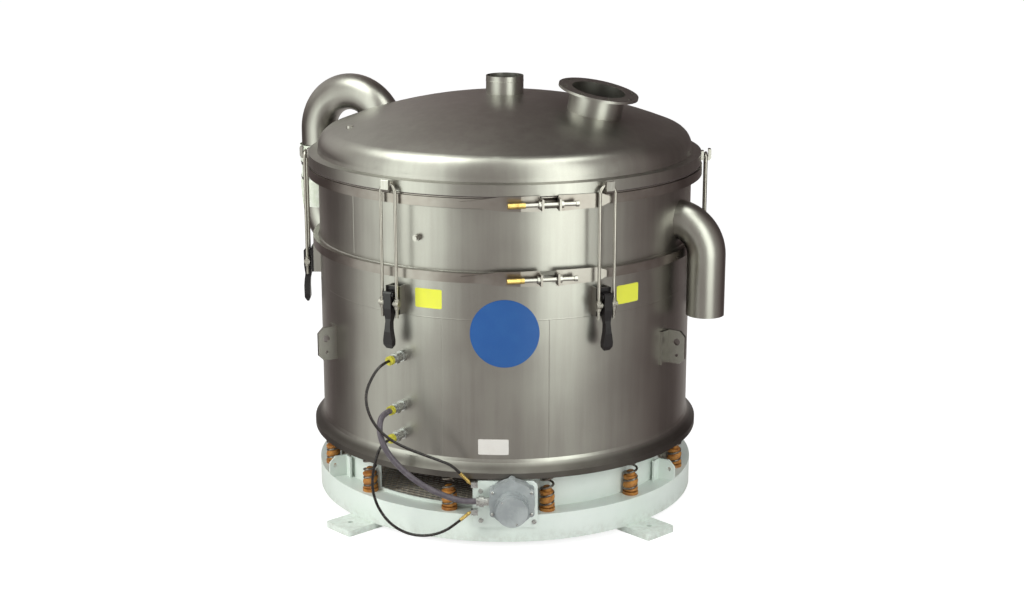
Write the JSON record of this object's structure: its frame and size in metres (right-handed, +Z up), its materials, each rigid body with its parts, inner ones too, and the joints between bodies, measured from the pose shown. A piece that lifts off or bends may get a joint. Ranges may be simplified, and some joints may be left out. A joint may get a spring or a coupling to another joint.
{
  "type": "vibrating sieve",
  "caption": "Round vibrating sieve: domed sprung screening body with toggle-clamped lid, feed and discharge spouts, on a ring base with coil springs.",
  "frame": {"origin": "on the machine's vertical axis, in the plane of the four feet's undersides", "axes": "+Z up along the machine's axis, -Y towards the side with the junction box, +X towards the oversize spout's side"},
  "size_m": [1.7964, 1.8508, 1.7377],
  "materials": {
    "stainless": "satin",
    "base_paint": "satin",
    "galvanised": "satin",
    "orange_rubber": "matt",
    "spring_steel": "satin",
    "black_paint": "satin",
    "brass": "satin",
    "yellow_plastic": "matt",
    "cast_housing": "matt",
    "black_hose": "matt",
    "grey_conduit": "matt",
    "gasket_rubber": "matt",
    "wire_cloth": "satin",
    "white_sleeve": "matt",
    "motor_paint": "satin",
    "machined_steel": "satin",
    "weight_iron": "matt"
  },
  "bodies": {
    "base": {"base_ring": "base_paint", "mounting_feet": "base_paint", "spring_guard": "galvanised", "tie_down_tabs": "base_paint", "spring_seats": "orange_rubber", "suspension_springs": "spring_steel", "junction_plate": "base_paint", "junction_box": "cast_housing", "junction_cover": "cast_housing", "plate_fittings": "galvanised", "hose_ferrules": "brass", "grease_hose_upper": "black_hose", "grease_hose_lower": "black_hose", "power_conduit": "grey_conduit"},
    "rotor": {"rotor_shaft": "machined_steel", "upper_weight": "weight_iron", "lower_weight": "weight_iron"},
    "handle_1": {"latch_handle_1": "black_paint"},
    "bail_1": {"latch_bail_1": "stainless"},
    "handle_2": {"latch_handle_2": "black_paint"},
    "bail_2": {"latch_bail_2": "stainless"},
    "handle_3": {"latch_handle_3": "black_paint"},
    "bail_3": {"latch_bail_3": "stainless"},
    "handle_4": {"latch_handle_4": "black_paint"},
    "bail_4": {"latch_bail_4": "stainless"},
    "handle_5": {"latch_handle_5": "black_paint"},
    "bail_5": {"latch_bail_5": "stainless"},
    "handle_6": {"latch_handle_6": "black_paint"},
    "bail_6": {"latch_bail_6": "stainless"},
    "sieve": {"lower_frame": "stainless", "middle_frame": "stainless", "lid_seat_ring": "stainless", "lid_cover": "stainless", "clamp_ring_lower": "stainless", "clamp_ring_upper": "stainless", "centre_inlet": "stainless", "flanged_inlet": "stainless", "vent_bend": "stainless", "vent_elbow": "stainless", "oversize_spout": "stainless", "undersize_spout": "stainless", "screen_ring": "stainless", "discharge_pan": "stainless", "lifting_lugs": "stainless", "latch_brackets": "stainless", "lid_hooks": "stainless", "motor_mount": "stainless", "sleeve_clamps": "galvanised", "shell_couplings": "galvanised", "ring_draw_bolts": "galvanised", "capped_ports": "galvanised", "spring_caps": "orange_rubber", "latch_bases": "black_paint", "ring_barrel_nuts": "brass", "coupling_bushings": "yellow_plastic", "joint_gaskets": "gasket_rubber", "screen_cloth": "wire_cloth", "vent_sleeve": "white_sleeve", "motor_housing": "motor_paint", "motor_bearings": "machined_steel"}
  },
  "joints": [
    {"name": "suspension", "type": "slide", "parent": "base", "child": "sieve", "axis": [0, 0, 1], "range_m": [-0.006, 0.006], "stiffness_N_per_m": 300000, "springref_m": 0.0341, "deforming": ["suspension_springs", "grease_hose_upper", "power_conduit", "grease_hose_lower"]},
    {"name": "rotor_spin", "type": "hinge", "parent": "sieve", "child": "rotor", "pos_m": [0, 0, 0], "axis": [0, 0, 1], "continuous": true},
    {"name": "latch_1", "type": "hinge", "parent": "sieve", "child": "handle_1", "pos_m": [0.4115, -0.71274, 0.992], "axis": [-0.866, -0.5, 0], "range_deg": [0, 100]},
    {"name": "bail_1_swing", "type": "hinge", "parent": "handle_1", "child": "bail_1", "pos_m": [0.41025, -0.71057, 0.96], "axis": [-0.866, -0.5, 0], "range_deg": [-96, 2]},
    {"name": "latch_2", "type": "hinge", "parent": "sieve", "child": "handle_2", "pos_m": [0.823, 0, 0.992], "axis": [0, -1, 0], "range_deg": [0, 100]},
    {"name": "bail_2_swing", "type": "hinge", "parent": "handle_2", "child": "bail_2", "pos_m": [0.8205, 0, 0.96], "axis": [0, -1, 0], "range_deg": [-96, 2]},
    {"name": "latch_3", "type": "hinge", "parent": "sieve", "child": "handle_3", "pos_m": [0.4115, 0.71274, 0.992], "axis": [0.866, -0.5, 0], "range_deg": [0, 100]},
    {"name": "bail_3_swing", "type": "hinge", "parent": "handle_3", "child": "bail_3", "pos_m": [0.41025, 0.71057, 0.96], "axis": [0.866, -0.5, 0], "range_deg": [-96, 2]},
    {"name": "latch_4", "type": "hinge", "parent": "sieve", "child": "handle_4", "pos_m": [-0.4115, 0.71274, 0.992], "axis": [0.866, 0.5, 0], "range_deg": [0, 100]},
    {"name": "bail_4_swing", "type": "hinge", "parent": "handle_4", "child": "bail_4", "pos_m": [-0.41025, 0.71057, 0.96], "axis": [0.866, 0.5, 0], "range_deg": [-96, 2]},
    {"name": "latch_5", "type": "hinge", "parent": "sieve", "child": "handle_5", "pos_m": [-0.823, 0, 0.992], "axis": [0, 1, 0], "range_deg": [0, 100]},
    {"name": "bail_5_swing", "type": "hinge", "parent": "handle_5", "child": "bail_5", "pos_m": [-0.8205, 0, 0.96], "axis": [0, 1, 0], "range_deg": [-96, 2]},
    {"name": "latch_6", "type": "hinge", "parent": "sieve", "child": "handle_6", "pos_m": [-0.4115, -0.71274, 0.992], "axis": [-0.866, 0.5, 0], "range_deg": [0, 100]},
    {"name": "bail_6_swing", "type": "hinge", "parent": "handle_6", "child": "bail_6", "pos_m": [-0.41025, -0.71057, 0.96], "axis": [-0.866, 0.5, 0], "range_deg": [-96, 2]}
  ],
  "couplings": [
    {"joint": "bail_1_swing", "follows": "latch_1", "ratio": -0.942},
    {"joint": "bail_2_swing", "follows": "latch_2", "ratio": -0.942},
    {"joint": "bail_3_swing", "follows": "latch_3", "ratio": -0.942},
    {"joint": "bail_4_swing", "follows": "latch_4", "ratio": -0.942},
    {"joint": "bail_5_swing", "follows": "latch_5", "ratio": -0.942},
    {"joint": "bail_6_swing", "follows": "latch_6", "ratio": -0.942}
  ]
}
